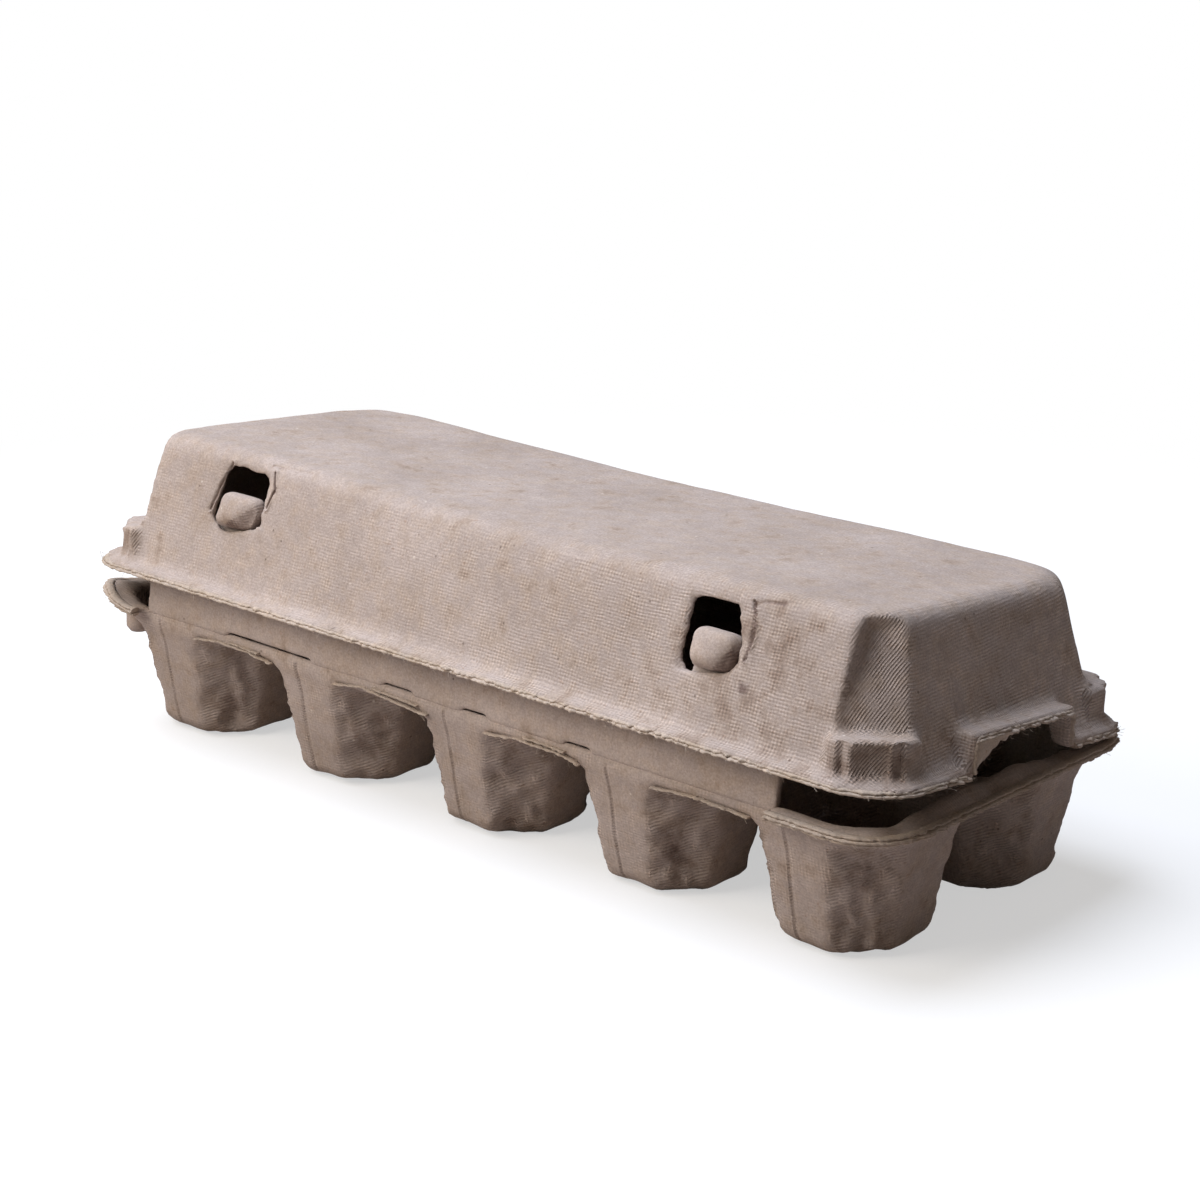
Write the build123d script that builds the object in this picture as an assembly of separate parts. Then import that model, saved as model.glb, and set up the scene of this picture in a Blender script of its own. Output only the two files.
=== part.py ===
from build123d import *
import os
from math import cos, hypot, radians, sin

# Pulp egg carton with two rows of cells, a hinged lid and a front locking flap.
# Millimetres, +Z up, +X along the carton, -Y towards the locking flap.
# The origin is on the ground under the middle of the footprint.

# Pulp sheet
PULP = 1.8

# Egg cells
CELLS_PER_ROW = 5
CELL_PITCH = 47.5
ROW_PITCH = 44.7
ROWS_SET_BACK = 1.0
TRAY_HEIGHT = 31.7
FOOT_ACROSS = 29.6
FOOT_FACET = 12.4
FOOT_BEVEL = 2.0
MOUTH_ACROSS = 40.6
MOUTH_FACET = 18.0
DECK_DEPTH = 4.8

# Posts between the cells
POST_FOOT_RADIUS = 10.5
POST_TOP_RADIUS = 6.0
POST_RISE = 16.0

# Rim of the tray
SKIRT_MARGIN = 0.25
SKIRT_CORNER = 13.0
FLANGE_END = 4.5
FLANGE_BACK = 1.8
FLANGE_FRONT = 3.7
FLANGE_CORNER = 13.0

# Lid, measured from its fold line
LID_TILT = 5.35
HINGE_GAP = 0.4
LID_OVERHANG = 5.0
LID_HEIGHT = 32.8
LID_FRONT_LIP = 3.0
LID_BACK_LIP = 1.0
LID_END_LIP = 3.5
LID_FRONT_SLOPE = 8.9
LID_BACK_SLOPE = 7.0
LID_END_SLOPE = 8.6
LID_ROUND = 5.0

# Sunk corner panels of the lid, between the shoulders of its long walls and the faces of its end walls
SHOULDER_SET_IN = 12.45
SHOULDER_OFFSET = -1.1
CORNER_STEP_TOP = 3.2
CORNER_STEP_FOOT = 0.4
END_FACE_TOP = 55.4
END_FACE_FOOT = 66.4

# Stacking lug at the foot of each corner panel
LUG_LENGTH = 14.4
LUG_FACET = 8.0
LUG_HEIGHT = 10.0
LUG_SINK = 0.8
LUG_SINK_WIDTH = 9.0

# Finger notch in each end of the lid
NOTCH_WIDTH = 33.0
NOTCH_HEIGHT = 7.5

# Latch windows in the lid and the buttons of the locking flap
WINDOW_OFFSET = -2.5
WINDOW_WIDTH = 13.6
WINDOW_HEIGHT = 14.6
WINDOW_DROP = 3.2
WINDOW_ROUND = 2.0
WINDOW_FRAME = 1.7
WINDOW_FRAME_DEPTH = 0.4
BUTTON_GAP = 0.6
BUTTON_HEIGHT = 9.2
BUTTON_PROUD = 1.8
BUTTON_TAPER = 1.2

# Locking flap
FLAP_SET_IN = 23.8
FLAP_OFFSET = -5.8
FLAP_GAP = 0.8
FOLD_DROP = 0.7
FLAP_HEADROOM = 6.2
FLAP_TAPER = 9.0
SLIT_HEIGHT = 0.5
SLIT_LENGTHS = (29.0, 10.0, 8.5, 8.0)
SLIT_PLACES = (-59.3, -17.0, 6.7, 37.0)

# Places that follow from the sizes above
CELL_HALF = MOUTH_ACROSS / 2
DECK_UNDER = TRAY_HEIGHT - DECK_DEPTH
DECK_TOP = DECK_UNDER + PULP
SKIRT_HALF_LENGTH = (CELLS_PER_ROW - 1) * CELL_PITCH / 2 + CELL_HALF + SKIRT_MARGIN
SKIRT_HALF_DEPTH = ROW_PITCH / 2 + CELL_HALF + SKIRT_MARGIN
FOLD_Y = ROWS_SET_BACK - SKIRT_HALF_DEPTH
FOLD_Z = TRAY_HEIGHT - FOLD_DROP
HALF_LENGTH = SKIRT_HALF_LENGTH + FLANGE_END
HINGE_Y = ROWS_SET_BACK + SKIRT_HALF_DEPTH + FLANGE_BACK
HINGE_Z = TRAY_HEIGHT + HINGE_GAP / 2
LID_PLACE = Pos(0, HINGE_Y, HINGE_Z) * Rot(-LID_TILT, 0, 0) * Pos(0, 0, HINGE_GAP / 2)
LID_DEPTH = HINGE_Y - FOLD_Y + LID_OVERHANG
LID_FRONT_FOOT = LID_FRONT_LIP - LID_DEPTH
LID_BACK_FOOT = -LID_BACK_LIP
LID_MIDDLE = ROWS_SET_BACK - HINGE_Y
LID_END_FOOT = HALF_LENGTH - LID_END_LIP
FRONT_SLANT = hypot(LID_FRONT_SLOPE, LID_HEIGHT)
WINDOW_SPACING = (CELLS_PER_ROW - 2) * CELL_PITCH
WINDOW_RISE = LID_HEIGHT - WINDOW_DROP - WINDOW_HEIGHT
FLAP_LENGTH = 2 * (HALF_LENGTH - FLAP_SET_IN)
FLAP_TOP = LID_HEIGHT - PULP - FLAP_HEADROOM
BEYOND = 10.0


def octagon(across, facet, z):
    """Level octagon with four facets of the given width and four cut corners."""
    half, flat = across / 2, facet / 2
    quarter = [(half, -flat), (half, flat)]
    turns = ((1, 0), (0, 1), (-1, 0), (0, -1))
    points = [(x * c - y * s, x * s + y * c) for c, s in turns for x, y in quarter]
    return Pos(0, 0, z) * make_face(Polyline(*points, close=True))


def cell_places():
    """Centres of the egg cells."""
    first = -(CELLS_PER_ROW - 1) * CELL_PITCH / 2
    rows = (ROWS_SET_BACK - ROW_PITCH / 2, ROWS_SET_BACK + ROW_PITCH / 2)
    return [Pos(first + i * CELL_PITCH, y) for i in range(CELLS_PER_ROW) for y in rows]


def cell_cup():
    """Outside of one tapered cell, with its bevelled foot."""
    mouth = octagon(MOUTH_ACROSS, MOUTH_FACET, DECK_TOP)
    cup = loft([octagon(FOOT_ACROSS, FOOT_FACET, 0), mouth], ruled=True)
    return chamfer(cup.edges().group_by(Axis.Z)[0], FOOT_BEVEL)


def cell_hollow():
    """Inside of one cell, a pulp wall smaller all round."""
    foot = offset(octagon(FOOT_ACROSS, FOOT_FACET, PULP), -PULP, kind=Kind.INTERSECTION)
    mouth = offset(octagon(MOUTH_ACROSS, MOUTH_FACET, DECK_TOP), -PULP, kind=Kind.INTERSECTION)
    return loft([foot, mouth], ruled=True)


def slab(length, depth, corner, low, high, y=ROWS_SET_BACK):
    """Level plate with rounded corners between two heights."""
    return extrude(Pos(0, y, low) * RectangleRounded(length, depth, corner), high - low)


def post_places():
    """Middles of the squares between four neighbouring cells."""
    first = -(CELLS_PER_ROW - 2) * CELL_PITCH / 2
    return [Pos(first + i * CELL_PITCH, ROWS_SET_BACK) for i in range(CELLS_PER_ROW - 1)]


def post(radius_cut, low, high):
    """Tapered post between two heights, thinner than the outer one by radius_cut."""
    cone = Cone(POST_FOOT_RADIUS - radius_cut, POST_TOP_RADIUS - radius_cut, high - low,
                align=(Align.CENTER, Align.CENTER, Align.MIN))
    return Pos(0, 0, low) * cone


def build_tray():
    """Cell tray: ten cups hung from a deck, with a skirt and a flange round the rim."""
    flange_depth = FLANGE_FRONT + FLANGE_BACK + 2 * SKIRT_HALF_DEPTH
    flange_y = HINGE_Y - flange_depth / 2
    tray = slab(2 * SKIRT_HALF_LENGTH, 2 * SKIRT_HALF_DEPTH, SKIRT_CORNER, DECK_UNDER, TRAY_HEIGHT)
    tray += slab(2 * HALF_LENGTH, flange_depth, FLANGE_CORNER, TRAY_HEIGHT - PULP, TRAY_HEIGHT, flange_y)
    fold_cut = Pos(FLAP_OFFSET, FOLD_Y, TRAY_HEIGHT) * Box(
        FLAP_LENGTH, FLANGE_FRONT + BEYOND, 2 * DECK_DEPTH, align=(Align.CENTER, Align.MAX, Align.CENTER))
    tray -= fold_cut
    tray -= Pos(FLAP_OFFSET, FOLD_Y, FOLD_Z) * Box(
        FLAP_LENGTH, 2 * PULP, DECK_DEPTH, align=(Align.CENTER, Align.CENTER, Align.MIN))
    tray += [place * cell_cup() for place in cell_places()]
    tray -= slab(2 * (SKIRT_HALF_LENGTH - PULP), 2 * (SKIRT_HALF_DEPTH - PULP), SKIRT_CORNER - PULP,
                 DECK_TOP, TRAY_HEIGHT + BEYOND)
    tray += [place * post(0, DECK_UNDER, DECK_TOP + POST_RISE) for place in post_places()]
    tray -= [place * cell_hollow() for place in cell_places()]
    tray -= [place * post(PULP, DECK_UNDER, DECK_TOP + POST_RISE - PULP) for place in post_places()]
    return tray


def lid_section(share, inset, z):
    """Outline of the lid's walls, part of the way from its foot (0) to its top (1), drawn in by inset."""
    half = LID_END_FOOT - share * LID_END_SLOPE - inset
    front = LID_FRONT_FOOT + share * LID_FRONT_SLOPE + inset
    back = LID_BACK_FOOT - share * LID_BACK_SLOPE - inset
    return Pos(0, (front + back) / 2, z) * Rectangle(2 * half, back - front)


def at_corners(make):
    """Copies of a piece at the lid's four corners, for a right-hand one with its long wall's foot at y = 0.
    The piece follows from that wall's shoulder, its slope and its distance from the end wall's middle."""
    pieces = []
    for side in (-1, 1):
        shoulder = LID_END_FOOT - SHOULDER_SET_IN + side * SHOULDER_OFFSET
        front = Pos(0, LID_FRONT_FOOT) * make(shoulder, LID_FRONT_SLOPE, LID_MIDDLE - LID_FRONT_FOOT)
        back = mirror(make(shoulder, LID_BACK_SLOPE, LID_BACK_FOOT - LID_MIDDLE), Plane.XZ)
        pair = [front, Pos(0, LID_BACK_FOOT) * back]
        pieces += pair if side > 0 else [mirror(piece, Plane.YZ) for piece in pair]
    return pieces


def corner_section(share, shoulder, slope, room, inset, z):
    """Wedge outside a corner panel, from the shoulder of the long wall to the face of the end wall."""
    half = LID_END_FOOT - share * LID_END_SLOPE
    start = share * slope + CORNER_STEP_FOOT + share * (CORNER_STEP_TOP - CORNER_STEP_FOOT)
    stop = room - (END_FACE_FOOT + share * (END_FACE_TOP - END_FACE_FOOT)) / 2
    lean = (stop - start) / (half - shoulder)
    near, reach = shoulder - inset, half - shoulder + BEYOND
    start += inset * (hypot(1, lean) - lean)
    points = [(near, -BEYOND), (near + reach, -BEYOND), (near + reach, start + lean * reach), (near, start)]
    return Pos(0, 0, z) * make_face(Polyline(*points, close=True))


def lid_shell(inset):
    """Solid bounded by the lid's walls and roof, drawn in by inset, with its four sunk corners."""
    shell = loft([lid_section(0, inset, 0), lid_section(1, inset, LID_HEIGHT)], ruled=True)
    shell = split(shell, Plane.XY.offset(LID_HEIGHT - inset), keep=Keep.BOTTOM)
    shell = fillet(shell.edges().group_by(Axis.Z)[-1], LID_ROUND - inset)
    levels = (-PULP, LID_HEIGHT + PULP)
    return shell - at_corners(lambda *corner: loft(
        [corner_section(z / LID_HEIGHT, *corner, inset, z) for z in levels], ruled=True))


def lug(shoulder, inset):
    """Upright lug round the foot of a right-hand corner panel, drawn in by inset."""
    facet = [(LID_END_FOOT - LUG_FACET, 0), (LID_END_FOOT, LUG_FACET)]
    end = [(LID_END_FOOT, LUG_LENGTH), (LID_END_FOOT - BEYOND, LUG_LENGTH)]
    points = [(shoulder, 0), *facet, *end, (shoulder, BEYOND)]
    outline = make_face(Polyline(*points, close=True))
    outline = offset(outline, -inset, kind=Kind.INTERSECTION) if inset else outline
    return extrude(outline, LUG_HEIGHT - inset)


def lug_sink():
    """Shallow sink in the slanting face of a lug."""
    middle = Pos(LID_END_FOOT - LUG_FACET / 2, LUG_FACET / 2, (LUG_HEIGHT + PULP) / 2)
    return middle * Rot(0, 0, 45) * Box(LUG_SINK_WIDTH, 2 * LUG_SINK, LUG_HEIGHT - 2 * PULP)


def front_plane(x, rise):
    """Frame on the outside of the lid's sloping front wall: X along it, Y up it, Z outwards."""
    y = LID_FRONT_FOOT + LID_FRONT_SLOPE * rise / LID_HEIGHT
    up = Vector(0, LID_FRONT_SLOPE, LID_HEIGHT)
    return Plane(origin=(x, y, rise), x_dir=(1, 0, 0), z_dir=Vector(1, 0, 0).cross(up))


def window_planes():
    """Frames at the foot of the two latch windows."""
    return [front_plane(WINDOW_OFFSET + side * WINDOW_SPACING / 2, WINDOW_RISE) for side in (-1, 1)]


def window_cut(plane):
    """Latch window through the front wall with the shallow frame pressed round it."""
    middle = plane * Pos(0, WINDOW_HEIGHT / 2, 0)
    hole = middle * RectangleRounded(WINDOW_WIDTH, WINDOW_HEIGHT, WINDOW_ROUND)
    hole = extrude(hole, BEYOND / 2, both=True)
    grown = 2 * WINDOW_FRAME
    frame = extrude(middle * RectangleRounded(WINDOW_WIDTH + grown, WINDOW_HEIGHT + grown,
                                              WINDOW_ROUND + WINDOW_FRAME), -WINDOW_FRAME_DEPTH)
    return hole + frame


def end_notch(side):
    """Finger notch in one end wall: the hood that carries the lip over it, and the opening."""
    reach = LID_END_LIP + LID_END_SLOPE * NOTCH_HEIGHT / LID_HEIGHT + PULP
    lowest = (Align.CENTER, Align.CENTER, Align.MIN)
    hood = Pos(side * (HALF_LENGTH - reach / 2), LID_MIDDLE, 0) * Box(
        reach, NOTCH_WIDTH + 2 * PULP, NOTCH_HEIGHT + PULP, align=lowest)
    opening = Pos(side * LID_END_FOOT, LID_MIDDLE, -BEYOND) * Box(
        2 * (reach + BEYOND), NOTCH_WIDTH, NOTCH_HEIGHT + BEYOND, align=lowest)
    return hood, opening


def build_lid():
    """Lid: sloping walls with sunk corners and lugs, a lip all round, windows and end notches."""
    lip = extrude(Pos(0, -LID_DEPTH / 2) * RectangleRounded(2 * HALF_LENGTH, LID_DEPTH, FLANGE_CORNER), PULP)
    notches = [end_notch(side) for side in (-1, 1)]
    lid = lid_shell(0) + lip + [hood for hood, _ in notches]
    lid += at_corners(lambda shoulder, *_: lug(shoulder, 0))
    lid -= lid_shell(PULP)
    lid -= at_corners(lambda shoulder, *_: lug(shoulder, PULP))
    lid -= at_corners(lambda *_: lug_sink())
    lid -= [opening for _, opening in notches]
    lid -= [window_cut(plane) for plane in window_planes()]
    return LID_PLACE * lid


def lid_point(y, z):
    """Carton-frame Y and Z of a point in the lid's own cross-section."""
    turn = radians(-LID_TILT)
    raised = z + HINGE_GAP / 2
    return HINGE_Y + y * cos(turn) - raised * sin(turn), HINGE_Z + y * sin(turn) + raised * cos(turn)


def flap_line(back, rise):
    """Point behind the lid's front wall, back from its outside face, at a height in the lid."""
    y = LID_FRONT_FOOT + LID_FRONT_SLOPE * rise / LID_HEIGHT
    return lid_point(y + back * FRONT_SLANT / LID_HEIGHT, rise)


def button(plane):
    """Tapered latch button from the flap's face through its window."""
    back = -PULP - FLAP_GAP - PULP / 2
    width = WINDOW_WIDTH - 2 * BUTTON_GAP
    middle = Pos(0, BUTTON_GAP + BUTTON_HEIGHT / 2, 0)
    foot = plane * middle * Pos(0, 0, back) * RectangleRounded(width, BUTTON_HEIGHT, WINDOW_ROUND)
    head = plane * middle * Pos(0, 0, BUTTON_PROUD) * RectangleRounded(
        width - 2 * BUTTON_TAPER, BUTTON_HEIGHT - 2 * BUTTON_TAPER, WINDOW_ROUND)
    return fillet(loft([foot, head]).faces().sort_by_distance(head.center())[0].edges(), BUTTON_TAPER / 2)


def build_locking_flap():
    """Flap turned up from the tray's front fold behind the lid's wall, with a button per window."""
    face_back = PULP + FLAP_GAP
    front_line = [(FOLD_Y, FOLD_Z), flap_line(face_back, PULP), flap_line(face_back, FLAP_TOP)]
    back_line = [flap_line(face_back + PULP, rise) for rise in (FLAP_TOP, PULP)]
    outline = front_line + back_line + [(FOLD_Y + PULP, FOLD_Z)]
    section = Plane.YZ.offset(FLAP_OFFSET - FLAP_LENGTH / 2) * make_face(Polyline(*outline, close=True))
    knee, top = outline[1][1], outline[3][1]
    half = FLAP_LENGTH / 2
    front = [(-half, FOLD_Z), (half, FOLD_Z), (half, knee), (half - FLAP_TAPER, top),
             (FLAP_TAPER - half, top), (-half, knee)]
    face = Pos(FLAP_OFFSET, 0, 0) * Plane.XZ * make_face(Polyline(*front, close=True))
    flap = extrude(section, FLAP_LENGTH) & extrude(face, HINGE_Y - FOLD_Y, both=True)
    for length, x in zip(SLIT_LENGTHS, SLIT_PLACES):
        flap -= Pos(x, FOLD_Y, FOLD_Z) * Box(length, 4 * PULP, 2 * SLIT_HEIGHT)
    flap += [LID_PLACE * button(plane) for plane in window_planes()]
    return flap


def main():
    os.makedirs("parts", exist_ok=True)
    for name, build in (("tray", build_tray), ("lid", build_lid), ("locking_flap", build_locking_flap)):
        solid = build()
        export_step(solid, f"parts/{name}.step")


main()
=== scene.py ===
# %% [markdown]
# # Pulp egg carton
# A closed carton of moulded paper pulp: a tray of ten tapered cells, a lid that folds over it along the
# back, and a locking flap that stands behind the lid's front wall with two buttons in two windows. Pulp
# is sucked onto a wire screen and dried, so every edge is soft, every rim is ragged, and the screen's
# weave is printed into the skin. The frame gives exact sizes, and this script adds that softness and
# skin.

# %% Load the frame
import math

import bmesh
import bpy
import numpy as np
from mathutils import Matrix, Vector, noise


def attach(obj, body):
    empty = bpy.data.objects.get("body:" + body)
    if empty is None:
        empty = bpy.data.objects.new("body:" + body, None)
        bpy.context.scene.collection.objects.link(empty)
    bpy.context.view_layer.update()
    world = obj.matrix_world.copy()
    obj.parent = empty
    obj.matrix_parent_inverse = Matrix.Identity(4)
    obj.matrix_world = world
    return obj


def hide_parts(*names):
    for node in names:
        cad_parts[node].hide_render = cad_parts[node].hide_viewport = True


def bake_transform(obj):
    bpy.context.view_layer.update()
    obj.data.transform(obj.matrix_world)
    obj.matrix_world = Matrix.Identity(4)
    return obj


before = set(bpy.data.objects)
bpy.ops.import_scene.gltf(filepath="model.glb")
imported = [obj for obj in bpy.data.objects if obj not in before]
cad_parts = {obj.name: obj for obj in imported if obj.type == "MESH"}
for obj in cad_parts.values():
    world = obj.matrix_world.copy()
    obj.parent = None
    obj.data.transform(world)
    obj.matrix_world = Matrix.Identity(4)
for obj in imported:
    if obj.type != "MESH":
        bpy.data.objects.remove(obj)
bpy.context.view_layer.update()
scene = bpy.context.scene
MM = 0.001


# %% [markdown]
# ## Camera, light and floor
# The carton is seen from its front right corner, a little above the rim, with a long lens. A camera is
# placed best from plain measures: where it looks, how far off it stands, and its angles. A soft lamp
# stands low at the front left and a cooler one hangs high at the left, so the front and the roof are
# bright, the lip throws only a short shadow, and the end wall falls into shade.

# %% Camera
VIEW_AZIMUTH, VIEW_ELEVATION, VIEW_ROLL = math.radians(41.83), math.radians(17.78), math.radians(0.24)
VIEW_DISTANCE = 0.6916
VIEW_TARGET = Vector((0.00513, 0.001, 0.04626))
FOCAL_PIXELS, IMAGE_PIXELS, SENSOR = 3070.3, 1200, 36.0


def aim(azimuth, elevation):
    """Unit vector from the carton towards a place at these angles, azimuth 0 being straight in front."""
    return Vector((math.sin(azimuth) * math.cos(elevation), -math.cos(azimuth) * math.cos(elevation),
                   math.sin(elevation)))


def put(name, data):
    """New object in the scene, at the origin."""
    made = bpy.data.objects.new(name, data)
    scene.collection.objects.link(made)
    return made


camera_data = bpy.data.cameras.new("front_right_camera")
camera_data.sensor_width = SENSOR
camera_data.lens = FOCAL_PIXELS / IMAGE_PIXELS * SENSOR
camera_data.clip_start = 0.01
camera = put("front_right_camera", camera_data)
back = aim(VIEW_AZIMUTH, VIEW_ELEVATION)
level = Vector((math.cos(VIEW_AZIMUTH), math.sin(VIEW_AZIMUTH), 0))
upright = back.cross(level)
right = math.cos(VIEW_ROLL) * level + math.sin(VIEW_ROLL) * upright
up = math.cos(VIEW_ROLL) * upright - math.sin(VIEW_ROLL) * level
turned = Matrix((right, up, back)).transposed().to_4x4()
camera.matrix_world = Matrix.Translation(VIEW_TARGET + back * VIEW_DISTANCE) @ turned
scene.camera = camera
print("camera lens", round(camera_data.lens, 2), "mm, at", [round(c, 3) for c in camera.location])


# %% Colour and node helpers
MATH, VECTOR, RANGE, MIX = "ShaderNodeMath", "ShaderNodeVectorMath", "ShaderNodeMapRange", "ShaderNodeMix"
NOISE, COMBINE = "ShaderNodeTexNoise", "ShaderNodeCombineXYZ"


def srgb(code):
    """Linear colour from an sRGB hex value such as #B5A598."""
    channels = [int(code[i:i + 2], 16) / 255 for i in (1, 3, 5)]
    return tuple(c / 12.92 if c <= 0.04045 else ((c + 0.055) / 1.055) ** 2.4 for c in channels) + (1.0,)


def add(tree, kind, inputs=None, **settings):
    """Adds a node, sets it up, and gives each input a value, a socket or another node's first output."""
    made = tree.nodes.new(kind)
    for name, value in settings.items():
        setattr(made, name, value)
    for key, value in (inputs or {}).items():
        if isinstance(value, bpy.types.Node):
            value = next(socket for socket in value.outputs if socket.enabled)
        if isinstance(value, bpy.types.NodeSocket):
            tree.links.new(value, made.inputs[key])
        else:
            made.inputs[key].default_value = value
    return made


def new_material(name):
    """Empty node material, ready for a shader."""
    material = bpy.data.materials.new(name)
    material.use_nodes = True
    material.node_tree.nodes.clear()
    return material, material.node_tree


print("mid grey in linear light:", round(srgb("#808080")[0], 3))


# %% Light
def soft_lamp(name, angles, distance, size, power, tint):
    """Square lamp that faces the carton from an azimuth and an elevation in degrees."""
    data = bpy.data.lights.new(name, "AREA")
    data.size = size
    data.energy = power
    data.color = srgb(tint)[:3]
    lamp = put(name, data)
    way = aim(*(math.radians(angle) for angle in angles))
    faced = way.to_track_quat("Z", "Y").to_matrix().to_4x4()
    lamp.matrix_world = Matrix.Translation(VIEW_TARGET + way * distance) @ faced
    print(name, power, "W at", [round(c, 2) for c in lamp.location])


soft_lamp("window_light", angles=(-27, 34), distance=0.72, size=0.45, power=3.85, tint="#FFF8EF")
soft_lamp("ceiling_light", angles=(-80, 69), distance=2.2, size=1.6, power=66.0, tint="#E6EFFF")


def eye_or_bounce(tree):
    """One where a ray comes from the eye or its mirrors, nought where light bounces."""
    ray = add(tree, "ShaderNodeLightPath").outputs
    seen = add(tree, MATH, {0: ray["Is Camera Ray"], 1: ray["Is Glossy Ray"]}, operation="MAXIMUM")
    return add(tree, MATH, {0: seen, 1: ray["Is Transmission Ray"]}, operation="MAXIMUM")


def two_tones(tree, bounced, seen):
    """One colour for the light that bounces and another for the eye."""
    return add(tree, MIX, {"Factor": eye_or_bounce(tree), "A": srgb(bounced), "B": srgb(seen)},
               data_type="RGBA")


world = bpy.data.worlds.new("white_room")
scene.world = world
world.use_nodes = True
tree = world.node_tree
tree.nodes.clear()
room = add(tree, "ShaderNodeBackground", {"Color": two_tones(tree, "#564F49", "#FFFFFF")})
add(tree, "ShaderNodeOutputWorld", {"Surface": room})
scene.view_settings.view_transform = "Standard"

# %% Floor
FLOOR_HALF = 3.0
SHADOW_FADE, SHADOW_SOFTENING = (0.20, 0.36), 0.55

# White paper: it takes the carton's soft shadow close by, and runs out into plain white further off.
floor_material, tree = new_material("white_studio_paper")
paper = add(tree, "ShaderNodeBsdfDiffuse", {"Color": two_tones(tree, "#A79C96", "#FCFCFC")})
sheet = add(tree, "ShaderNodeEmission", {"Color": srgb("#FFFFFF"), "Strength": 1.0})
from_middle = add(tree, VECTOR, {0: add(tree, "ShaderNodeTexCoord").outputs["Object"]},
                  operation="LENGTH").outputs["Value"]
far = add(tree, RANGE, {"Value": from_middle, "From Min": SHADOW_FADE[0], "From Max": SHADOW_FADE[1],
          "To Min": SHADOW_SOFTENING}, interpolation_type="SMOOTHSTEP")
seen_far = add(tree, MATH, {0: far, 1: eye_or_bounce(tree)}, operation="MULTIPLY")
ground = add(tree, "ShaderNodeMixShader", {0: seen_far, 1: paper, 2: sheet})
add(tree, "ShaderNodeOutputMaterial", {"Surface": ground})
floor_mesh = bpy.data.meshes.new("studio_floor")
floor_corners = [(x * FLOOR_HALF, y * FLOOR_HALF, 0) for x, y in ((-1, -1), (1, -1), (1, 1), (-1, 1))]
floor_mesh.from_pydata(floor_corners, [], [(0, 1, 2, 3)])
floor_mesh.materials.append(floor_material)
floor = put("studio_floor", floor_mesh)
print("floor", 2 * FLOOR_HALF, "m square, white beyond", SHADOW_FADE[1], "m")


# %% [markdown]
# ## Pulp
# Grey-brown recycled pulp is matt and warm, never one flat tone: cloudy where the slurry was thick,
# finely mottled with fibres, flecked with dark and pale scraps of old paper, and stained brown here and
# there. The wire screen leaves a fine woven print. The clouds, flecks and fibres are noise on object
# coordinates. The print follows a map of the surface, called screen, that each piece carries in
# millimetres. Two numbers on every vertex, one for the print and one for brown, say how deep the weave is
# pressed there and how brown the pulp is. The brown is real stain where the pulp dried stained, and
# painted shade in the gaps between the cups, along the lid's creases and on the buttons' lower facets.

# %% Pulp material
# Sizes in millimetres. Real fibres are about 0.03 thick and real wires lie about 0.5 apart: both are drawn
# coarser here, so that they still show when the whole carton fills the picture.
CLOUD, STAIN_SPOT, MOTTLE, PORE, FIBRE = 34.0, 5.5, 2.6, 1.3, 0.5
WARP_PITCH, WEFT_PITCH, WANDER, WANDER_REACH = 0.84, 0.68, 9.0, 1.1
FLECK_SPACING = 3.4
BRAN_TONE, STRAW_TONE = "#8F7360", "#B29878"
PRINT_DEPTH, PORE_DEPTH, FIBRE_DEPTH = 0.036, 0.07, 0.085


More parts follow.
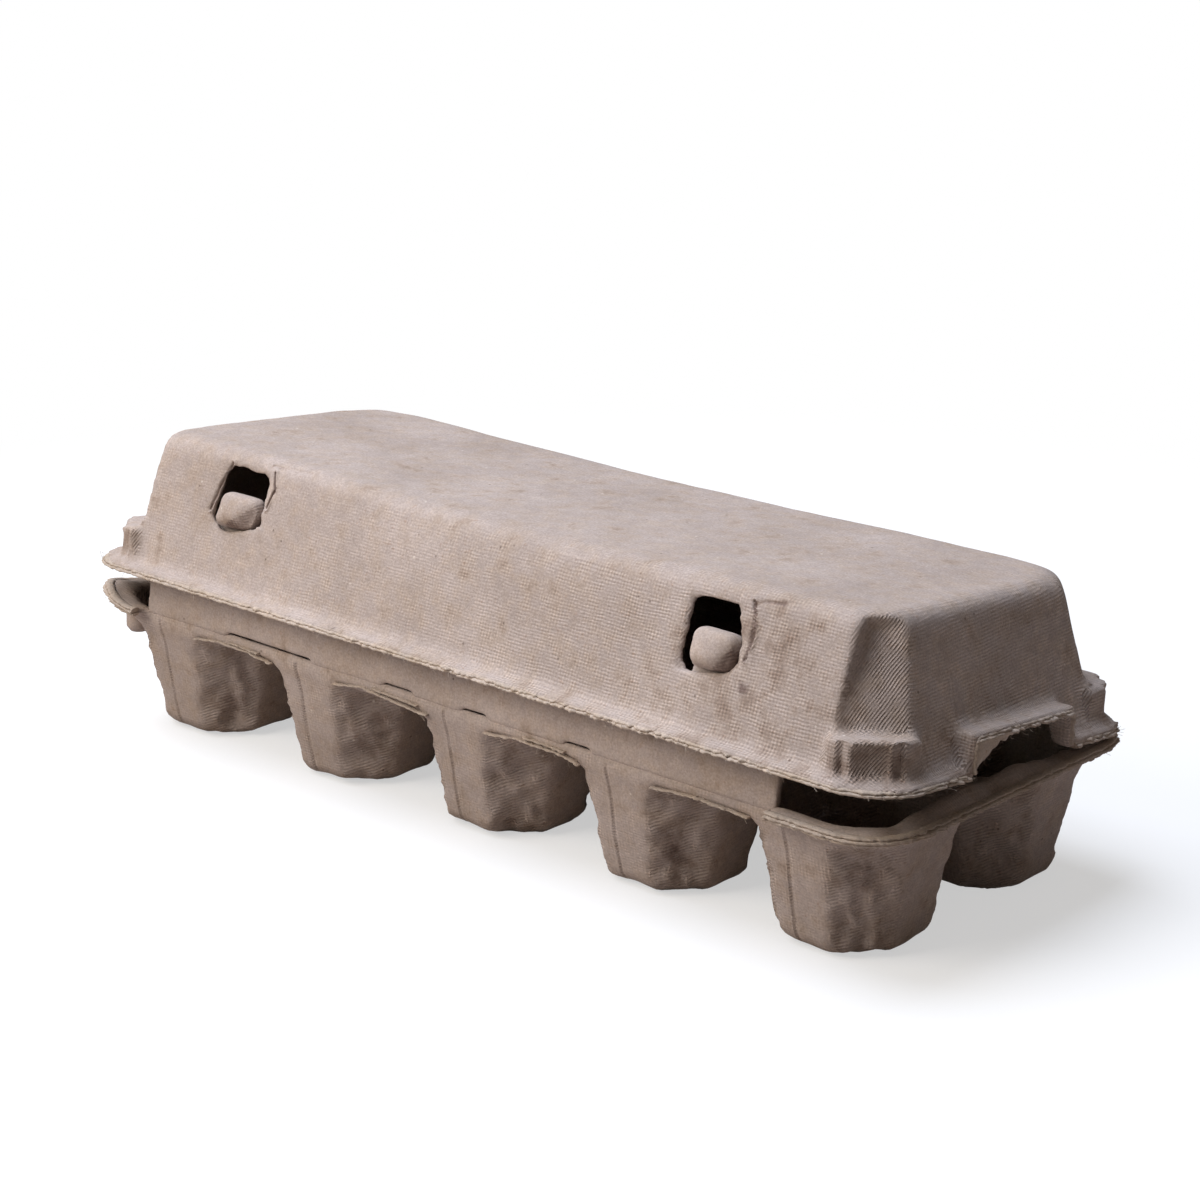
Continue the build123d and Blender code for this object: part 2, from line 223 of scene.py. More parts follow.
def pulp_material(name, pale, deep, brown):
    """Moulded recycled pulp in three sRGB tones, its patterns sized in millimetres."""
    material, tree = new_material(name)
    place = add(tree, "ShaderNodeTexCoord").outputs["Object"]
    print_here = add(tree, "ShaderNodeAttribute", attribute_name="print").outputs["Fac"]
    stain_and_shade_here = add(tree, "ShaderNodeAttribute", attribute_name="stain_and_painted_shade").outputs["Fac"]
    grain = {}
    for size in (CLOUD, STAIN_SPOT, MOTTLE, PORE, FIBRE):
        grain[size] = add(tree, NOISE, {"Vector": place, "Scale": 1 / (size * MM), "Detail": 4.0,
                          "Roughness": 0.62}).outputs["Fac"]

    cloud_share = add(tree, RANGE, {"Value": grain[CLOUD], "From Min": 0.32, "From Max": 0.68})
    tone = add(tree, MIX, {"Factor": cloud_share, "A": srgb(deep), "B": srgb(pale)}, data_type="RGBA")
    # The stain number adds brown both for real stains and for painted shade.
    stain_and_shade_amount = add(tree, MATH, {0: stain_and_shade_here, 1: 0.30, 2: grain[STAIN_SPOT]}, operation="MULTIPLY_ADD")
    for value, low, high, most, tint in ((grain[STAIN_SPOT], 0.42, 0.74, 0.34, STRAW_TONE),
                                         (stain_and_shade_amount, 0.60, 0.90, 0.75, brown),
                                         (grain[PORE], 0.60, 0.74, 0.45, BRAN_TONE)):
        share = add(tree, RANGE, {"Value": value, "From Min": low, "From Max": high, "To Max": most})
        tone = add(tree, MIX, {"Factor": share, "A": tone, "B": srgb(tint)}, data_type="RGBA")
    swings = []
    for size, low, high, least, most in ((MOTTLE, 0.28, 0.72, 0.91, 1.08), (FIBRE, 0.25, 0.75, 0.76, 1.22),
                                         (STAIN_SPOT, 0.36, 0.64, 0.4, 1.2),
                                         (MOTTLE, 0.36, 0.62, 0.15, 1.35)):
        swings.append(add(tree, RANGE, {"Value": grain[size], "From Min": low, "From Max": high,
                          "To Min": least, "To Max": most}))
    mottle, fuzz, warp_share, patchy = swings
    speckle = add(tree, MATH, {0: mottle, 1: fuzz}, operation="MULTIPLY")

    screen = add(tree, "ShaderNodeUVMap", uv_map="screen")
    wander = add(tree, NOISE, {"Vector": place, "Scale": 1 / (WANDER * MM), "Detail": 3.0})
    bent = add(tree, VECTOR, {0: wander.outputs["Color"], 1: (WANDER_REACH, WANDER_REACH, 0), 2: screen},
               operation="MULTIPLY_ADD")
    turns = add(tree, VECTOR, {0: bent, 1: (math.tau / WARP_PITCH, math.tau / WEFT_PITCH, 0)},
                operation="MULTIPLY")
    across = add(tree, "ShaderNodeSeparateXYZ", {0: turns})
    warp = add(tree, MATH, {0: across.outputs["X"]}, operation="SINE")
    weft = add(tree, MATH, {0: across.outputs["Y"]}, operation="SINE")
    weave = add(tree, MATH, {0: warp, 1: warp_share, 2: weft}, operation="MULTIPLY_ADD")
    uneven = add(tree, MATH, {0: print_here, 1: patchy}, operation="MULTIPLY")
    pressed = add(tree, MATH, {0: weave, 1: uneven}, operation="MULTIPLY")
    dusk = add(tree, RANGE, {"Value": pressed, "From Min": -1.85, "From Max": 1.85, "To Min": 0.68,
               "To Max": 1.22})
    shade = add(tree, MATH, {0: speckle, 1: dusk}, operation="MULTIPLY")
    tone = add(tree, MIX, {"Factor": 1.0, "A": tone, "B": shade}, data_type="RGBA", blend_type="MULTIPLY")

    flecks = add(tree, "ShaderNodeTexVoronoi", {"Vector": place, "Scale": 1 / (FLECK_SPACING * MM)})
    pick = add(tree, "ShaderNodeSeparateColor", {"Color": flecks.outputs["Color"]}).outputs["Red"]
    near = add(tree, RANGE, {"Value": flecks.outputs["Distance"], "From Min": 0.05, "From Max": 0.11,
               "To Min": 0.6, "To Max": 0.0})
    for test, limit, fleck_tone in (("GREATER_THAN", 0.86, "#4A3A30"), ("LESS_THAN", 0.12, "#DDD3C8")):
        chosen = add(tree, MATH, {0: pick, 1: limit}, operation=test)
        share = add(tree, MATH, {0: near, 1: chosen}, operation="MULTIPLY")
        tone = add(tree, MIX, {"Factor": share, "A": tone, "B": srgb(fleck_tone)}, data_type="RGBA")

    height = add(tree, MATH, {0: pressed, 1: PRINT_DEPTH}, operation="MULTIPLY")
    for size, depth in ((PORE, PORE_DEPTH), (FIBRE, FIBRE_DEPTH)):
        height = add(tree, MATH, {0: grain[size], 1: depth, 2: height}, operation="MULTIPLY_ADD")
    bump = add(tree, "ShaderNodeBump", {"Height": height, "Distance": MM, "Strength": 1.0})
    skin = add(tree, "ShaderNodeBsdfPrincipled", {"Base Color": tone, "Roughness": 0.92, "IOR": 1.46,
               "Specular IOR Level": 0.2, "Normal": bump})
    add(tree, "ShaderNodeOutputMaterial", {"Surface": skin})
    print("material", name, "with", len(tree.nodes), "nodes")
    return material


# The moulded skin is matt grey-brown with a faint woven grain that catches side light. Its dark brown
# serves both for stains and for painted shade.
pulp = pulp_material("moulded_grey_brown_pulp", pale="#B8AAA3", deep="#A5978F", brown="#68554F")
# Torn edges show raw, paler fibre that never touched the screen.
torn_pulp = pulp_material("torn_pale_pulp", pale="#C0B1A5", deep="#AD9F92", brown="#9A8878")


# %% [markdown]
# ## Tray, lid and flap
# The three moulded pieces keep the frame's form, but a pressed sheet has no sharp arris. Bevels would
# round each edge alike. Here a copy of each node is rebuilt as an even skin of small faces by the voxel
# remesh, which also rounds the edges, and is then relaxed and swollen by a little lumpy noise, as drying
# leaves it. All later shaping moves these vertices, in millimetres, and cuts the faces finer only where a
# crease is pressed in.

# %% Places in the lid
HINGE_Y, HINGE_Z, LID_TILT, LID_LIFT = 45.7, 31.9, math.radians(5.35), 0.2
COS, SIN = math.cos(LID_TILT), math.sin(LID_TILT)
LID_HEIGHT, FRONT_FOOT, FRONT_SLOPE, PULP = 32.8, -89.6, 8.9, 1.8


def to_lid(points):
    """Carton places turned into the lid's own level frame, whose origin is on the hinge."""
    y, z = points[:, 1] - HINGE_Y, points[:, 2] - HINGE_Z
    return np.stack([points[:, 0], y * COS - z * SIN, y * SIN + z * COS - LID_LIFT], axis=1)


def from_lid(points):
    """Places in the lid's own frame turned back into the carton's."""
    y, z = points[:, 1], points[:, 2] + LID_LIFT
    return np.stack([points[:, 0], HINGE_Y + y * COS + z * SIN, HINGE_Z - y * SIN + z * COS], axis=1)


def front_of(rise):
    """How far the outside of the lid's front wall stands from the hinge, at a height in the lid."""
    return FRONT_FOOT + FRONT_SLOPE * rise / LID_HEIGHT


def on_front(x, rise):
    """Carton place on the outside of the lid's front wall, at a height in the lid."""
    return from_lid(np.array([[x, front_of(rise), rise]]))[0]


print("lid's front wall: foot", on_front(0, 0).round(1), "top", on_front(0, LID_HEIGHT).round(1))

# %% Soft copies of the nodes
# Corners this near, in metres, are one corner, and heights this near, in millimetres, are the same height.
WELD, LEVEL = 1e-6, 0.05


def lid_box(low, high):
    """Closed box between two corners given in the lid's frame, to cut with."""
    spans = list(zip(low, high))
    corners = np.array([(x, y, z) for x in spans[0] for y in spans[1] for z in spans[2]])
    mesh = bpy.data.meshes.new("cut")
    mesh.from_pydata(from_lid(corners) * MM, [], [(0, 1, 3, 2), (4, 6, 7, 5), (0, 4, 5, 1), (2, 3, 7, 6),
                                                 (0, 2, 6, 4), (1, 5, 7, 3)])
    return put("cut", mesh)


def bake(piece):
    """Mesh that a piece has once its modifiers have worked."""
    return bpy.data.meshes.new_from_object(piece.evaluated_get(bpy.context.evaluated_depsgraph_get()))


def soft_copy(name, voxel, rounds, lower=(), cutters=()):
    """New object with a node's shape, less the cutters, rebuilt in even small faces and relaxed a little.
    Each (height, drop) in lower sends the corners at that height down, to meet the piece below."""
    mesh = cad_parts[name].data.copy()
    work = bmesh.new()
    work.from_mesh(mesh)
    bmesh.ops.remove_doubles(work, verts=work.verts, dist=WELD)
    for vertex in work.verts:
        vertex.co.z -= sum(drop for height, drop in lower if abs(vertex.co.z / MM - height) < LEVEL) * MM
    work.to_mesh(mesh)
    work.free()
    piece = put("pulp_" + name, mesh)
    for cutter in cutters:
        slot = piece.modifiers.new("slot", "BOOLEAN")
        slot.object = cutter
    remesh = piece.modifiers.new("even_faces", "REMESH")
    remesh.mode = "VOXEL"
    remesh.voxel_size = voxel * MM
    smooth = piece.modifiers.new("relax", "SMOOTH")
    smooth.iterations = rounds
    smooth.factor = 0.5
    baked = bake(piece)
    piece.modifiers.clear()
    piece.data = baked
    baked.name = piece.name
    baked.materials.clear()
    for cutter in cutters:
        bpy.data.objects.remove(cutter)
    return piece


def read(items, name, width, kind=float):
    """Array of one property of all items of a mesh, one row each."""
    flat = np.empty(width * len(items), kind)
    items.foreach_get(name, flat)
    return flat.reshape(-1, width) if width > 1 else flat


def points_of(piece):
    """Places of the vertices in millimetres."""
    return read(piece.data.vertices, "co", 3) / MM


def normals_of(piece):
    """Ways the vertices face."""
    return read(piece.data.vertices, "normal", 3)


def set_points(piece, points):
    """Moves the vertices to places in millimetres."""
    piece.data.vertices.foreach_set("co", (points * MM).ravel())
    piece.data.update()


def lumps(points, size, seed):
    """Smooth noise from -1 to 1 with lumps of a size in millimetres."""
    shift = Vector((17.3, 5.1, 11.7)) * seed
    return np.array([noise.noise(Vector(p) / size + shift) for p in points])


def ease(values, low, high):
    """Smooth step from nought at low to one at high."""
    t = np.clip((values - low) / (high - low), 0, 1)
    return t * t * (3 - 2 * t)


def hill(values, middle, half_width):
    """Smooth bump of height one about the middle."""
    return np.exp(-((values - middle) / half_width) ** 2)


print("soft copies can be made of", sorted(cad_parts))

# %% Shaping tools
BROAD_LUMP, FINE_LUMP = 26.0, 6.0
CREASE_REACH, CREASE_FACING, CREASE_CUTS, CREASE_MARGIN = 4.0, 0.4, 3, 0.8
RIDGE_SHARE, RIDGE_OFFSET = 0.45, 2.2


def swell(piece, seed, broad, fine):
    """Lumpy drying: moves the skin along its normals by broad and fine noise."""
    points = points_of(piece)
    amount = broad * lumps(points, BROAD_LUMP, seed) + fine * lumps(points, FINE_LUMP, seed + 1)
    set_points(piece, points + normals_of(piece) * amount[:, None])


def relax(piece, share, rounds):
    """Draws each vertex by its share towards the mean of its neighbours, round after round."""
    start, end = read(piece.data.edges, "vertices", 2, np.int32).T
    points = points_of(piece)
    count = len(points)
    linked = np.bincount(start, minlength=count) + np.bincount(end, minlength=count)
    for _ in range(rounds):
        total = np.stack([np.bincount(start, points[end, axis], count)
                          + np.bincount(end, points[start, axis], count) for axis in range(3)], axis=1)
        points += (total / linked[:, None] - points) * share[:, None]
    set_points(piece, points)


def refine(piece, chosen, cuts):
    """Cuts the edges between chosen vertices, so that fine creases find room between them."""
    work = bmesh.new()
    work.from_mesh(piece.data)
    edges = [e for e in work.edges if chosen[e.verts[0].index] and chosen[e.verts[1].index]]
    bmesh.ops.subdivide_edges(work, edges=edges, cuts=cuts, use_grid_fill=True)
    work.to_mesh(piece.data)
    work.free()


def off_path(points, path, facing):
    """Signed distance of points from a path, seen along one way, and how far ahead of it they lie."""
    nearest, depth = np.full(len(points), 1e9), np.full(len(points), 1e9)
    for start, end in zip(path, path[1:]):
        run = np.subtract(end, start)
        length = np.linalg.norm(run)
        run = run / length
        away = points - start
        gap = away - np.outer(np.clip(away @ run, 0, length), run)
        ahead = gap @ facing
        gap = gap - np.outer(ahead, facing)
        signed = np.linalg.norm(gap, axis=1) * np.where(away @ np.cross(facing, run) < 0, -1, 1)
        closer = np.abs(signed) < np.abs(nearest)
        nearest, depth = np.where(closer, signed, nearest), np.where(closer, ahead, depth)
    return nearest, depth


def crease(piece, path, facing, width, depth):
    """Presses a narrow crease with a low ridge beside it along a path, into skin that faces one way."""
    path = [np.array(p, float) for p in path]
    facing = np.array(facing, float) / np.linalg.norm(facing)

    def measure():
        points = points_of(piece)
        gap, ahead = off_path(points, path, facing)
        return points, gap, (np.abs(ahead) < CREASE_REACH) & (normals_of(piece) @ facing > CREASE_FACING)

    _, gap, near = measure()
    refine(piece, (np.abs(gap) < 3 * width + CREASE_MARGIN) & near, CREASE_CUTS)
    points, gap, near = measure()
    amount = near * (RIDGE_SHARE * hill(gap, RIDGE_OFFSET * width, width) - hill(gap, 0, width)) * depth
    set_points(piece, points + np.outer(amount, facing))


print("creases are cut", CREASE_CUTS + 1, "times finer than the skin around them")

# %% Marks and finish
FLAT_FROM, SLANT_FROM, DIAGONAL, FAINT_WARP, CHAMFER_FROM = 0.72, 0.45, 0.7, 0.02, 0.3


def slanting(piece):
    """True where the skin faces between the long way and the short way, as a chamfer does."""
    return np.minimum(*np.abs(normals_of(piece)[:, :2]).T) > CHAMFER_FROM


def mark(piece, name, values):
    """Writes one number per vertex for the material to read."""
    layer = piece.data.attributes.new(name, "FLOAT", "POINT")
    layer.data.foreach_set("value", np.clip(values, 0, 2).astype(np.float32))


def map_screen(piece, climb, finer):
    """Lays the wire screen's map on every face, in millimetres. Slanting faces show one set of wires only,
    which climb by a share of their run and lie finer than elsewhere."""
    mesh = piece.data
    corners = read(mesh.loops, "vertex_index", 1, np.int32)
    sizes = read(mesh.polygons, "loop_total", 1, np.int32)
    n = np.repeat(read(mesh.polygons, "normal", 3), sizes, axis=0)
    p = points_of(piece)[corners]
    along_x, along_y = np.abs(n[:, 1]), np.abs(n[:, 0])
    u = np.where(along_x > along_y, p[:, 0], p[:, 1])
    v = p[:, 2].copy()
    flat = np.abs(n[:, 2]) > FLAT_FROM
    u[flat], v[flat] = p[flat, 0], p[flat, 1]
    slant = ~flat & (np.minimum(along_x, along_y) > SLANT_FROM * np.maximum(along_x, along_y))
    side = DIAGONAL * (np.sign(n[:, 0]) * p[:, 1] - np.sign(n[:, 1]) * p[:, 0])[slant]
    u[slant], v[slant] = 0, finer * (p[slant, 2] - climb * side) / math.hypot(1, climb)
    u[~flat & ~slant & (along_y > along_x)] *= FAINT_WARP
    layer = mesh.uv_layers.new(name="screen")
    layer.data.foreach_set("uv", np.stack([u, v], axis=1).ravel())


def print_triangles(piece):
    """Tells how many triangles a piece has."""
    piece.data.calc_loop_triangles()
    print(piece.name, len(piece.data.loop_triangles), "triangles")


def finish_piece(piece, body, node, climb=0.35, finer=0.95):
    """Smooth faces, the screen's map and pulp skin; ties a piece to its body and hides the node it replaces.
    """
    piece.data.shade_smooth()
    map_screen(piece, climb, finer)
    piece.data.materials.append(pulp)
    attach(piece, body)
    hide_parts(node)
    print_triangles(piece)


print("end walls show", FAINT_WARP, "of the upright wires")


# %% [markdown]
# ## Lid
# The roof has sagged between the ends, the front edge is dented near its middle, and the roof's corners
# are drawn smooth as domes. The front corner panels are pressed deeper beside the shoulders. The windows
# were punched through wet pulp: their edges are ragged, and thin creases run beside them. A wall runs
# into the lip through a small hollow. All are smooth changes of a dense skin, so formulas move its
# vertices.

# %% Lid
ROOF_CORNERS = [(x, y, 32.0) for x in (-107.0, 107.0) for y in (-81.0, -8.0)]
WALL_FOOT_X, WALL_FOOT_Y, WALL_FOOT_Z, LID_CENTRE_Y = 117.4, 44.5, 2.4, -46.3

lid = soft_copy("lid", 1.15, 2)
swell(lid, 7, broad=0.30, fine=0.08)
local = to_lid(points_of(lid))
x, y, z = local.T
from_corner = np.min([np.linalg.norm(local - corner, axis=1) for corner in ROOF_CORNERS], axis=0)
relax(lid, 0.5 * ease(-from_corner, -19, -7) * ease(y, -60, -30), 30)
relax(lid, 0.5 * ease(-from_corner, -12, -4), 6)
beyond_x, beyond_y = np.abs(x) - WALL_FOOT_X, np.abs(y - LID_CENTRE_Y) - WALL_FOOT_Y
wall_foot = hill(z, WALL_FOOT_Z, 1.8) * ease(-beyond_x, -1, 0) * ease(-beyond_y, -1, 0)
relax(lid, 0.5 * wall_foot, 8)
print("lid softened,", len(local), "vertices")

# %% Sag, dent and corner panels
ROOF_SAG, SAG_HALF = 1.0, 104
EDGE_DENT, DENT_X, DENT_HALF, ROOF_EDGE_Y, ROOF_EDGE_Z, EDGE_REACH = 1.1, 12, 34, -81, 33, 9
LIP_WAVE, LIP_WAVE_LENGTH = 0.35, 31
PANEL_START, PANEL_DEEPER, PANEL_RISE, PANEL_TOP = {-1: 105.2, 1: 103.0}, 1.9, (11.0, 30.0), (-32, -30)
STEP_FOOT, STEP_DRAW = -89.2, 11.7
END_FOOT, END_DRAW, END_FACE_Y, END_FACE_DRAW = 116.55, 8.6, -77.9, 5.5

local = to_lid(points_of(lid))
x, y, z = local.T
roof = ease(z, 22, 32)
local[:, 2] -= ROOF_SAG * roof * np.cos(np.clip(x / SAG_HALF, -1, 1) * math.pi / 2) ** 2
dent = EDGE_DENT * hill(x, DENT_X, DENT_HALF) * hill(z, ROOF_EDGE_Z, EDGE_REACH)
dent *= hill(y, ROOF_EDGE_Y, EDGE_REACH)
local[:, 1] += 0.7 * dent
local[:, 2] -= dent
wave = LIP_WAVE * lumps(np.stack([x, y, 0 * z], axis=1), LIP_WAVE_LENGTH, 5)
local[:, 2] += np.where(z < 4, wave, 0)
for side, start_x in PANEL_START.items():
    share = z / LID_HEIGHT
    start_y = STEP_FOOT + STEP_DRAW * share
    run = np.stack([END_FOOT - END_DRAW * share - start_x,
                    END_FACE_Y + END_FACE_DRAW * share - start_y], axis=1)
    run_length = np.linalg.norm(run, axis=1)
    along = ((side * x - start_x) * run[:, 0] + (y - start_y) * run[:, 1]) / run_length ** 2
    out = ((side * x - start_x) * run[:, 1] - (y - start_y) * run[:, 0]) / run_length
    in_sheet = np.abs(out + PULP / 2) < PULP / 2 + 1.0
    on_panel = in_sheet & (along > -0.05) & (along < 1) & (y < -60)
    deeper = PANEL_DEEPER * on_panel * (1 - np.clip(along, 0, 1))
    deeper *= ease(z, *PANEL_RISE) * ease(-z, *PANEL_TOP)
    local[:, 0] -= side * deeper * run[:, 1] / run_length
    local[:, 1] += deeper * run[:, 0] / run_length
set_points(lid, from_lid(local))
print("roof sags", ROOF_SAG, "mm, corner panels lie up to", PANEL_DEEPER, "mm deeper")

# %% Windows
WINDOW_X, WINDOW_LOW, WINDOW_HIGH, WINDOW_HALF = (-73.75, 68.75), 15.0, 29.6, 6.8
WINDOW_JAG, FRONT_WALL_Y = (0.75, 0.30), -76

local = to_lid(points_of(lid))
x, y, z = local.T
wall = y < FRONT_WALL_Y
near_window = [wall & (np.abs(x - middle) < 10) & (z > 12) & (z < 32) for middle in WINDOW_X]
refine(lid, near_window[0] | near_window[1], 1)
local = to_lid(points_of(lid))
x, y, z = local.T
wall = y < FRONT_WALL_Y
for middle, jag in zip(WINDOW_X, WINDOW_JAG):
    away_x = np.abs(x - middle) - WINDOW_HALF
    away_z = np.abs(z - (WINDOW_LOW + WINDOW_HIGH) / 2) - (WINDOW_HIGH - WINDOW_LOW) / 2
    rim = wall * hill(np.maximum(away_x, away_z), 0, 1.3)
    flat = np.stack([x, 0 * y, z], axis=1)
    top = 0.35 + 0.65 * ease(z, 26, 29)
    local[:, 0] += 0.30 * rim * lumps(flat, 2.4, 31)
    local[:, 2] += jag * rim * top * lumps(flat, 2.0, 37)
# The left window leans out at its left, and its sill climbs to the right. The right window's sill tilts,
# its top hangs a little, and its right side is drawn in near the top.
lean = wall * hill(x, WINDOW_X[0] - WINDOW_HALF, 2.6) * ease(-z, -28, -18) * ease(z, 14.5, 17.5)
low_edge = wall * hill(z, WINDOW_LOW, 1.6)
left_low = 1.9 * ease(x, -77, -69) * ease(-x, 63, 66)
right_low = np.clip(0.2 * (x - 72), -1.6, 0.8) * ease(-np.abs(x - 69), -10, -7)
right_top = wall * hill(z, WINDOW_HIGH, 1.5) * ease(-np.abs(x - 68), -10, -6)
right_edge = wall * hill(x, WINDOW_X[1] + WINDOW_HALF, 1.9) * ease(z, 20, 28.5) * ease(-z, -33, -30)
local[:, 0] -= 1.5 * lean + 2.4 * right_edge
local[:, 2] += low_edge * (left_low + right_low) - 0.9 * right_top
set_points(lid, from_lid(local))
print("windows at", WINDOW_X, "mm, jagged by up to", WINDOW_JAG, "mm")

# %% Creases and grooves
# Each crease in the front wall: its depth, and its path in places along the wall and heights in the lid.
CREASES = ((0.90, ((76.6, 29.8), (77.9, 27.1), (78.8, 23.3), (77.9, 18.4))),
           (0.25, ((78.1, 30.1), (84.0, 30.9))),
           (0.70, ((-65.3, 29.9), (-63.9, 26.4), (-65.3, 22.0))),
           (0.30, ((-66.7, 31.2), (-54.7, 31.5))),
           (0.50, ((-79.9, 29.6), (-82.0, 24.8), (-83.6, 18.4))))
END_CREASES = (((115.0, -60.5, 7.0), (113.2, -61.0, 14.0), (112.0, -60.8, 20.0)),
               ((111.9, -38.0, 20.0), (110.4, -38.4, 26.0)),
               ((113.6, -31.0, 13.0), (111.6, -30.5, 21.0), (110.4, -30.8, 26.0)))
FRONT_FACING, END_FACING = (0, -0.986, 0.169), (0.967, 0, 0.254)
LUG_GROOVES, LUG_MIRROR, GROOVE_Z = ((106.9, -88.7), (115.0, -80.7)), -45.3, (3.2, 9.4)

front_paths = [(depth, [on_front(*place) for place in path]) for depth, path in CREASES]
for depth, path in front_paths:
    crease(lid, path, FRONT_FACING, 0.32, depth)
for path in END_CREASES:
    crease(lid, from_lid(np.array(path)), END_FACING, 0.3, 0.16)
for side in (-1, 1):
    for end in (-1, 1):
        for groove_x, front_y in LUG_GROOVES:
            groove_y = front_y if end < 0 else 2 * LUG_MIRROR - front_y
            groove = from_lid(np.array([(side * groove_x, groove_y, rise) for rise in GROOVE_Z]))
            crease(lid, groove, (side, end, 0), 0.9, 1.0)
print(len(CREASES) + len(END_CREASES), "creases and", 4 * len(LUG_GROOVES), "grooves pressed into the lid")

# %% Nub, print, stains and painted crease shade of the lid
NUB, NUB_RISE, NUB_HALF = (109.5, -55.0, 31.0), 0.7, 1.3
# Painted shade along the lid's creases: its strength for each millimetre of crease depth, and its half
# width.
CREASE_PAINTED_SHADE, CREASE_SHADE_HALF = 3.0, 0.4
SPECK, SPECK_STAIN, SPECK_HALF = (79.2, 12.9), 2.6, 0.9

local = to_lid(points_of(lid))
local[:, 2] += NUB_RISE * hill(np.linalg.norm(local - NUB, axis=1), 0, NUB_HALF)
set_points(lid, from_lid(local))
x, y, z = local.T
ends = np.abs(x) > 104
mark(lid, "print", 0.24 + 0.5 * ease(x, -70, 70) + 1.4 * (ends & slanting(lid))
     + 0.25 * lumps(local, 24, 41) - 0.3 * (z > 29))
# The ends grow browner towards their foot, and the right of the front wall is browned.
browned_and_painted_shade = 0.35 * ends * ease(-z, -12, -3) + 0.36 * ease(x, 20, 100) * ease(-y, 78, 84)
# Painted shade: each crease is darkened along its line, the more so the deeper it is pressed.
for depth, path in front_paths:
    gap, _ = off_path(points_of(lid), path, np.array(FRONT_FACING))
    browned_and_painted_shade += CREASE_PAINTED_SHADE * depth * hill(gap, 0, CREASE_SHADE_HALF) * (y < -78)
from_speck = np.linalg.norm(points_of(lid) - on_front(*SPECK), axis=1)
browned_and_painted_shade += SPECK_STAIN * hill(from_speck, 0, SPECK_HALF)
mark(lid, "stain_and_painted_shade", browned_and_painted_shade - 0.5 * ease(z, 28, 32) * (y > -80))
finish_piece(lid, "lid", "lid", climb=1.2, finer=1.12)


# %% [markdown]
# ## Tray
# Wet pulp pulls tight between the flat faces of each cup as it dries, so the slanting faces are hollow and
# wrinkled, and the feet stand unevenly. Low in the gaps between the cups the slanting faces are darkened
# with painted shade, broken into patches of brown stain. A seam of the mould runs down each outer face. At
# the right end the inner edge of the flange stands a little higher, and at the left front its torn corner
# curls up.

# %% Tray
CELL_PITCH, ROW_PITCH, SET_BACK = 47.5, 44.7, 1.0
CELL_X = [CELL_PITCH * (i - 2) for i in range(5)]
CELL_Y = (SET_BACK - ROW_PITCH / 2, SET_BACK + ROW_PITCH / 2)
FLUTE, WRINKLE, FOOT_WAVE, END_REACH, CRUMPLE = 0.35, 1.4, 0.9, 1.6, 0.8
RIM_LIFT, RIM_LIFT_Y, RIM_LIFT_HALF = 2.6, -9.0, 21.0
CURL = (-1.6, 0.6, 3.0)
# Each dent in the end flanges: where it is, its radius and its depth.
RIM_DENTS = ((112.0, -1.0, 4.2, 1.3), (117.5, -5.0, 2.6, 1.1), (-112.0, 3.0, 4.2, 1.2))


def curl(points):
    """Lifts the torn left front corner of the flange."""
    x, y, z = points.T
    return points + np.outer(ease(-x, 103, 119) * ease(-y, 26, 44) * ease(z, 27.5, 31), CURL)


tray = soft_copy("tray", 1.27, 2)
swell(tray, 3, broad=0.30, fine=0.14)
points = points_of(tray)
x, y, z = points.T
cell_x = CELL_PITCH * np.clip(np.round(x / CELL_PITCH), -2, 2)
cell_y = np.where(y < SET_BACK, *CELL_Y)
out_x, out_y = x - cell_x, y - cell_y
reach = np.hypot(out_x, out_y) + 1e-6
corner = ease(2 * np.abs(out_x * out_y) / reach ** 2, 0.55, 0.92) * ease(reach, 9, 12)
standing = ease(z, 0.5, 7) * ease(-z, -27, -22)
wrinkles = 1.8 * np.abs(lumps(points, 9.0, 51)) - 0.5 + 1.3 * np.abs(lumps(points, 4.6, 52))
inward = corner * standing * FLUTE + (0.08 + 0.92 * corner) * ease(-z, -27, -23) * WRINKLE * wrinkles
points[:, 0] -= inward * out_x / reach
points[:, 1] -= inward * out_y / reach
points[:, 0] -= END_REACH * (cell_x == CELL_X[0]) * ease(-out_x, 3, 13) * ease(-z, -30, -27)
wave = FOOT_WAVE * (0.35 + lumps(np.stack([x, y, 0 * z], axis=1), 8.5, 57))
points[:, 2] += np.maximum(wave, 0) * ease(-z, -7, 0) * ease(reach, 8, 13)
print("cups wrinkled by up to", round(inward.max(), 1), "mm")

# %% Flange, stains and painted shade of the tray
for dent_x, dent_y, radius, depth in RIM_DENTS:
    points[:, 2] -= depth * hill(np.hypot(x - dent_x, y - dent_y), 0, radius) * ease(z, 26, 29)
crumple = CRUMPLE * lumps(points, 5.0, 63) * ease(z, 26.5, 28.5) * ease(np.abs(x), 104, 110)
points[:, 2] += crumple * ease(-np.abs(x), -119.5, -116)
lifted = np.exp(-((y - RIM_LIFT_Y) / RIM_LIFT_HALF) ** 4) * ease(x, 112.0, 114.5)
points[:, 2] += RIM_LIFT * lifted * ease(-x, -119.8, -115.5) * ease(z, 27.0, 30.5)
set_points(tray, curl(points))
# Painted shade: the slanting faces low in the gaps between the cups are darkened, broken into patches of
# stain. The cups also grow darker towards their feet, and the end flanges carry brown stains.
stain_and_painted_shade = corner * ease(-z, -28, -22) * (0.26 + 0.8 * lumps(points, 8, 59)) + 0.2 * ease(-z, -6, -1)
stain_and_painted_shade += 0.6 * ease(z, 27, 29) * ease(np.abs(x), 106, 110) * np.maximum(lumps(points, 6, 67), 0)
mark(tray, "stain_and_painted_shade", stain_and_painted_shade)
print("flange dented in", len(RIM_DENTS), "places, its right end lifted by", RIM_LIFT, "mm")

